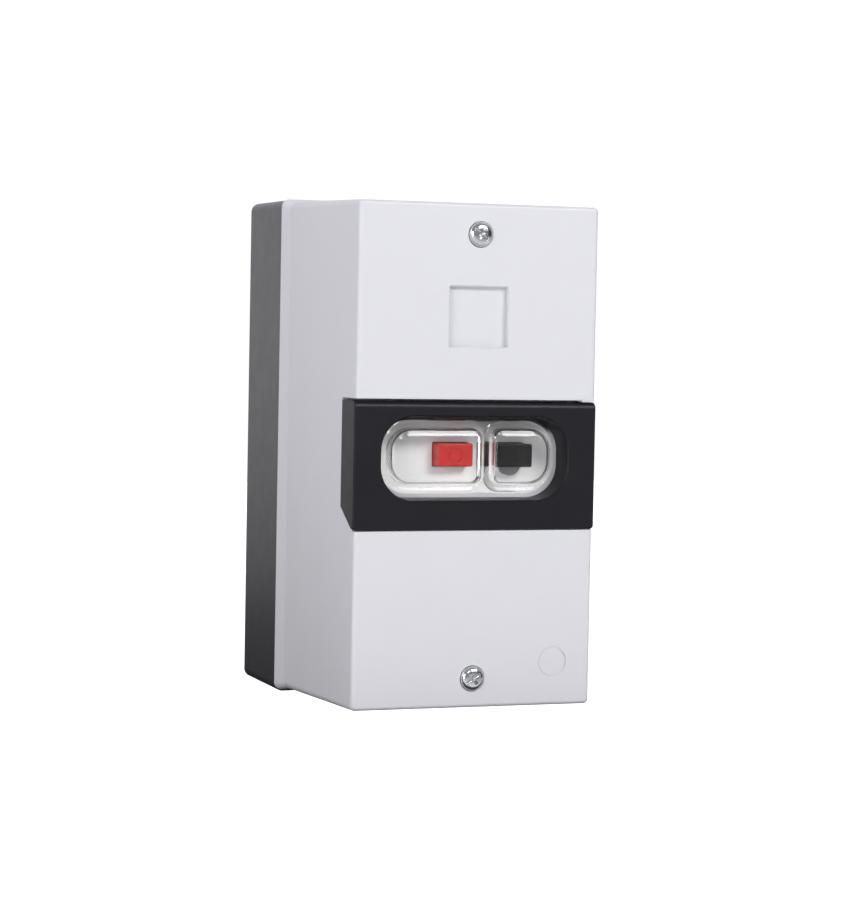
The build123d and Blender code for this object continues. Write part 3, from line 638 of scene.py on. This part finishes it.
def dome_hollow(near_x, far_x, near_share, far_share):
    """The room inside: nearly straight sides, a small round, and a top that follows the cushion."""
    edge = SIDE_WALL + 0.15
    top_edge = edge + 0.35
    deep = cushion_depth(edge) + TOP_WALL
    rows = [(SIDE_WALL - 0.1, 12.0), (SIDE_WALL, DOME_FOOT)]
    rows += [(edge, deep + 0.35), (edge + 0.1, deep + 0.12), (top_edge, deep)]
    for step in range(1, 11):
        inset = top_edge + 4.6 * step / 10
        rows.append((inset, cushion_depth(inset) + TOP_WALL))
    loops = [dome_loop(near_x, far_x, near_share, far_share, *row) for row in rows]
    return finish_mesh(loft(loops), "hollow", 50)


def make_membrane():
    """The two domes on their flange, in one piece."""
    low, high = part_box("membrane")
    sides = (low[0], high[0], low[2], high[2])
    radii = (MEMBRANE_R * MM, MEMBRANE_R * MM)
    ends = (front_y + DOME_FOOT * MM, high[1])
    flange = finish_mesh(loft([rounded_loop(*sides, y, *radii, 16) for y in ends]), "flange")
    outer = combined(flange, [dome_outside(*dome[:3]) for dome in DOMES], "UNION")
    hollow = combined(outer, [dome_hollow(*dome) for dome in DOMES], "DIFFERENCE")
    new_piece("membrane_domes", smooth(hollow, 40), "clear_silicone", "cover_set", "membrane")


make_membrane()


# ---------------------------------------------------------------- buttons

# Sizes of both buttons in millimetres. Places, heads, flanges and stems are as in the CAD part.
HEAD_W, HEAD_H, HEAD_CORNER = 12.0, 7.4, 0.5
FLANGE_W, FLANGE_H, FLANGE_THICK = 9.6, 10.4, 1.4
FLANGE_SHIFT = -1.0                   # of the flange's middle from the head's, in x
STEM_W, STEM_H = 3.0, 6.0
REAR_BEVEL = 0.2
EDGE_R = 0.45                         # the round between a head's face and its sides
DISH = 0.14                           # how deep its face is dished
MARK_DEPTH = 0.28                     # how deep its mark is cut below that
START_X, START_FLANGE_Y = 15.5, -94.25
STOP_X, STOP_FLANGE_Y = -3.7, -91.75


def button_head(centre_x, face, flange_y):
    """A rectangular head with rounded edges and a shallow dished face, as (inset, y) rows."""
    rows = [(0.0, flange_y + 0.1), (0.0, face + 0.5)]
    for degrees in (22, 45, 68, 90):
        turn = math.radians(degrees)
        rows.append((EDGE_R * (1 - math.cos(turn)), face + EDGE_R * (1 - math.sin(turn))))
    rows += [(0.75, face + 0.02), (1.2, face + DISH * 0.45), (2.0, face + DISH * 0.8), (3.0, face + DISH)]
    loops = []
    for inset, y in rows:
        half_w, half_h = HEAD_W / 2 - inset, HEAD_H / 2 - inset
        sizes = (centre_x - half_w, centre_x + half_w, -half_h, half_h, y, HEAD_CORNER, HEAD_CORNER)
        loops.append(rounded_loop(*[size * MM for size in sizes], 4))
    return finish_mesh(loft(loops), "head", 40)


def button_rear(centre_x, flange_y, stem_end):
    """The stop flange, and the stem that reaches back towards the rocker."""
    bm = bmesh.new()
    flange = (centre_x + FLANGE_SHIFT, FLANGE_W / 2, FLANGE_H / 2, flange_y, flange_y + FLANGE_THICK)
    stem = (centre_x, STEM_W / 2, STEM_H / 2, flange_y + 1.0, stem_end)
    for x, half_w, half_h, y, rear_y in (flange, stem):
        low, high = (x - half_w, y, -half_h), (x + half_w, rear_y, half_h)
        add_box(bm, Vector(low) * MM, Vector(high) * MM, REAR_BEVEL * MM)
    return finish_mesh(bm, "rear")


def ring_mark(centre_x, face, floor):
    """What cuts a plain ring into a face."""
    middle = (centre_x * MM, 0)
    outer = turned(middle, [(2.55 * MM, (face - 1) * MM), (2.35 * MM, floor * MM)], segments=56)
    core = turned(middle, [(1.85 * MM, (face - 2) * MM), (2.0 * MM, (floor + 1) * MM)], segments=56)
    return combined(finish_mesh(outer, "ring"), [finish_mesh(core, "core")], "DIFFERENCE")


def bar_mark(centre_x, face, floor):
    """What cuts a plain upright line into a face."""
    bm = bmesh.new()
    low, high = (centre_x - 0.26, face - 1, -2.3), (centre_x + 0.26, floor, 2.3)
    add_box(bm, Vector(low) * MM, Vector(high) * MM)
    return finish_mesh(bm, "bar")


def make_button(node, centre_x, flange_y, make_mark, material_slot):
    """A push button with an engraved mark."""
    low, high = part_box(node)
    face, stem_end = low[1] / MM, high[1] / MM
    mark = make_mark(centre_x, face, face + DISH + MARK_DEPTH)
    engraved = combined(button_head(centre_x, face, flange_y), [mark], "DIFFERENCE")
    mesh = joined([engraved, button_rear(centre_x, flange_y, stem_end)], node + "_mesh")
    new_piece(node + "_cap", smooth(mesh, 40), material_slot, body_of(node), node)


make_button("start_button", START_X, START_FLANGE_Y, bar_mark, "black_button")
make_button("stop_button", STOP_X, STOP_FLANGE_Y, ring_mark, "red_button")


# ---------------------------------------------------------------- small trim inside

def make_dial():
    """The current dial: a knurled edge, an arrow slot and a wider foot."""
    low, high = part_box("setting_dial")
    x, z = axis_of("setting_dial")
    face, rear = low[1], high[1]
    # (radius, distance behind the face), in millimetres
    steps = ((0.001, 0), (2.6, 0), (3.5, 0.1), (3.9, 0.5), (3.9, 2.0), (5.2, 2.0), (5.2, 3.1), (1.6, 3.1))
    profile = [(radius * MM, face + behind * MM) for radius, behind in steps]
    profile.append((1.6 * MM, rear))
    body = finish_mesh(turned((x, z), profile, segments=64, knurl=0.09 * MM), "dial")
    ends = (face - MM, face + 0.9 * MM)
    bm = bmesh.new()
    add_box(bm, (x - 2.7 * MM, ends[0], z - 0.45 * MM), (x + 2.0 * MM, ends[1], z + 0.45 * MM))
    slot = finish_mesh(bm, "slot")
    arrow = ((1.6, -1.2), (3.2, 0.0), (1.6, 1.2))
    tip = loft([[Vector((x + a * MM, y, z + b * MM)) for a, b in arrow] for y in ends])
    cut = combined(body, [slot, finish_mesh(tip, "tip")], "DIFFERENCE")
    new_piece("setting_dial_knob", smooth(cut, 30), "dial_plastic", "dial", "setting_dial")


def make_ticks():
    """Plain raised tick marks round the dial on the breaker's face."""
    x, z = axis_of("setting_dial")
    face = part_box("breaker_front_case")[0][1]
    mark = ((4.9, -0.14), (6.1, -0.14), (6.1, 0.14), (4.9, 0.14))     # outwards and sideways
    bm = bmesh.new()
    for degrees in range(-135, 136, 30):
        angle = math.radians(degrees)
        out = Vector((math.sin(angle), 0, math.cos(angle)))
        side = Vector((out.z, 0, -out.x))
        loops = []
        for y in (face + 0.02 * MM, face - 0.05 * MM):
            middle = Vector((x, y, z))
            loops.append([middle + out * a * MM + side * b * MM for a, b in mark])
        loft(loops, bm)
    new_piece("dial_ticks", finish_mesh(bm, "ticks"), "dial_plastic", "enclosure")


def make_inserts():
    """Brass inserts for the cover screws: tubes with an inner edge and grooves round them."""
    outer_r, groove_r, end_r = 2.95 * MM, 2.65 * MM, 2.75 * MM
    bm = bmesh.new()
    for low, high in islands("pillar_inserts"):
        x, z = (low.x + high.x) / 2, (low.z + high.z) / 2
        profile = [(2.05 * MM, high.y), (2.05 * MM, low.y + 0.3 * MM), (2.3 * MM, low.y)]
        profile += [(end_r, low.y), (outer_r, low.y + 0.25 * MM)]
        y = low.y + 1.5 * MM
        while y < high.y - 1.2 * MM:
            profile += [(outer_r, y), (groove_r, y + 0.2 * MM)]
            profile += [(groove_r, y + 0.6 * MM), (outer_r, y + 0.8 * MM)]
            y += 2.2 * MM
        profile += [(outer_r, high.y - 0.2 * MM), (end_r, high.y)]
        angles = [math.tau * k / 48 for k in range(48)]
        rings = [[bm.verts.new((x + r * math.cos(a), y, z + r * math.sin(a))) for a in angles]
                 for r, y in profile]
        skin(bm, [*rings, rings[0]])
    mesh = finish_mesh(bm, "inserts", 30)
    new_piece("pillar_inserts_knurled", mesh, "brass", "enclosure", "pillar_inserts")


def make_heaters():
    """Resistance tape wound over the glass fibre sleeve of each bimetal."""
    wire, turns, per_turn = 0.24 * MM, 11, 24
    steps = turns * per_turn
    bm = bmesh.new()
    for low, high in islands("heaters"):
        centre = (low + high) / 2
        half_x, half_y = (high.x - low.x) / 2 - wire, (high.y - low.y) / 2 - wire
        rise = high.z - low.z - 2 * wire
        points = []
        for step in range(steps + 1):
            angle = math.tau * turns * step / steps
            # Square roots pull the circle out towards the sleeve's corners.
            across = math.copysign(abs(math.cos(angle)) ** 0.5, math.cos(angle)) * half_x
            along = math.copysign(abs(math.sin(angle)) ** 0.5, math.sin(angle)) * half_y
            z = low.z + wire + rise * step / steps
            points.append(Vector((centre.x + across, centre.y + along, z)))
        wound(points, wire, bm, 6)
    new_piece("heater_windings", finish_mesh(bm, "windings", 60), "spring_steel", "enclosure")


make_dial()
make_ticks()
make_inserts()
make_heaters()


# ---------------------------------------------------------------- lights and floor

def area_light(name, place, aim, width, height, power):
    data = bpy.data.lights.new(name, "AREA")
    data.shape = "RECTANGLE"
    data.size = width
    data.size_y = height
    data.energy = power
    light = bpy.data.objects.new(name, data)
    light.location = place
    way = Vector(aim) - Vector(place)
    light.rotation_euler = way.to_track_quat("-Z", "Y").to_euler()
    bpy.context.scene.collection.objects.link(light)


STUDIO_TINT = (0.955, 0.955, 1.0, 1.0)
WORLD_EVEN = 0.03       # light from all round
WORLD_BACK = 0.90       # more of it from behind the object
WORLD_UP = 0.34         # and from above
WORLD_SEEN = 1.08       # what the camera sees instead


def make_world():
    """White to the camera; to the object, a surround that is brighter behind and above."""
    world = bpy.data.worlds.new("studio")
    bpy.context.scene.world = world
    world.use_nodes = True
    nodes, links = world.node_tree.nodes, world.node_tree.links
    background = nodes["Background"]
    background.inputs["Color"].default_value = STUDIO_TINT
    split = nodes.new("ShaderNodeSeparateXYZ")
    links.new(nodes.new("ShaderNodeTexCoord").outputs["Generated"], split.inputs["Vector"])
    total = nodes.new("ShaderNodeMath")
    ramps = (("Y", 0.2, 0.7, WORLD_EVEN, WORLD_EVEN + WORLD_BACK), ("Z", 0.2, 0.8, 0.0, WORLD_UP))
    for (axis, start, end, low, high), level in zip(ramps, total.inputs):
        ramp = nodes.new("ShaderNodeMapRange")
        ramp.interpolation_type = "SMOOTHSTEP"
        ends = {"From Min": start, "From Max": end, "To Min": low, "To Max": high}
        for socket, value in ends.items():
            ramp.inputs[socket].default_value = value
        links.new(split.outputs[axis], ramp.inputs["Value"])
        links.new(ramp.outputs["Result"], level)
    seen = nodes.new("ShaderNodeMix")
    seen.inputs["B"].default_value = WORLD_SEEN
    links.new(nodes.new("ShaderNodeLightPath").outputs["Is Camera Ray"], seen.inputs["Factor"])
    links.new(total.outputs["Value"], seen.inputs["A"])
    links.new(seen.outputs["Result"], background.inputs["Strength"])


def stage_plane(name, place, half, material):
    """A level square that is part of the studio and not of the object."""
    bm = bmesh.new()
    bmesh.ops.create_grid(bm, x_segments=1, y_segments=1, size=half)
    mesh = mesh_of(bm, name)
    plane = bpy.data.objects.new(name, mesh)
    plane.location = place
    bpy.context.scene.collection.objects.link(plane)
    mesh.materials.append(material)
    return plane


# How far the floor and the card lie below the part, and half their sides, in metres.
FLOOR_DROP, FLOOR_HALF = 0.30, 6.0
CARD_DROP, CARD_HALF = 0.012, 0.27


def make_floor():
    """A white floor well below the part, and above it a dark card that the camera doesn't see."""
    bottom = cad_box[0][2]
    paper = Shader("floor_paper", Roughness=0.9, Emission_Color=(1, 1, 1, 1))
    paper.vary_colour(paper.noise(0.8, 2), (0.80, 0.80, 0.80), (0.82, 0.82, 0.82))
    seen = paper.node("ShaderNodeLightPath").outputs["Is Camera Ray"]
    paper.link(seen, paper.shader.inputs["Emission Strength"])
    stage_plane("floor", (0.0, 0.0, bottom - FLOOR_DROP), FLOOR_HALF, paper.material)
    dark = Shader("card_paper", Roughness=0.9)
    dark.vary_colour(dark.noise(0.1, 2), (0.05, 0.05, 0.05), (0.06, 0.06, 0.06))
    card = stage_plane("shade_card", (-0.12, 0.13, bottom - CARD_DROP), CARD_HALF, dark.material)
    card.visible_camera = False


# Each lamp's name, place, aim, width, height and power in watts.
LIGHTS = (
    ("key_high", (0.50, -1.15, 0.70), (0, -0.10, 0), 0.62, 0.34, 9.2),
    ("key_small", (-0.15, -1.18, 0.55), (0, -0.10, 0), 0.17, 0.17, 1.2),
    ("front_wall", (-0.10, -2.6, -0.10), (0, 0, 0), 3.4, 2.6, 6),
    ("front_left", (-1.35, -1.25, 0.20), (0, -0.05, 0), 0.8, 0.8, 10.5),
    ("left_soft", (-1.2, -0.06, 0.45), (0, -0.05, 0), 0.6, 0.6, 2.8),
)
make_world()
make_floor()
for light in LIGHTS:
    area_light(*light)
bpy.context.scene.view_settings.view_transform = "Standard"
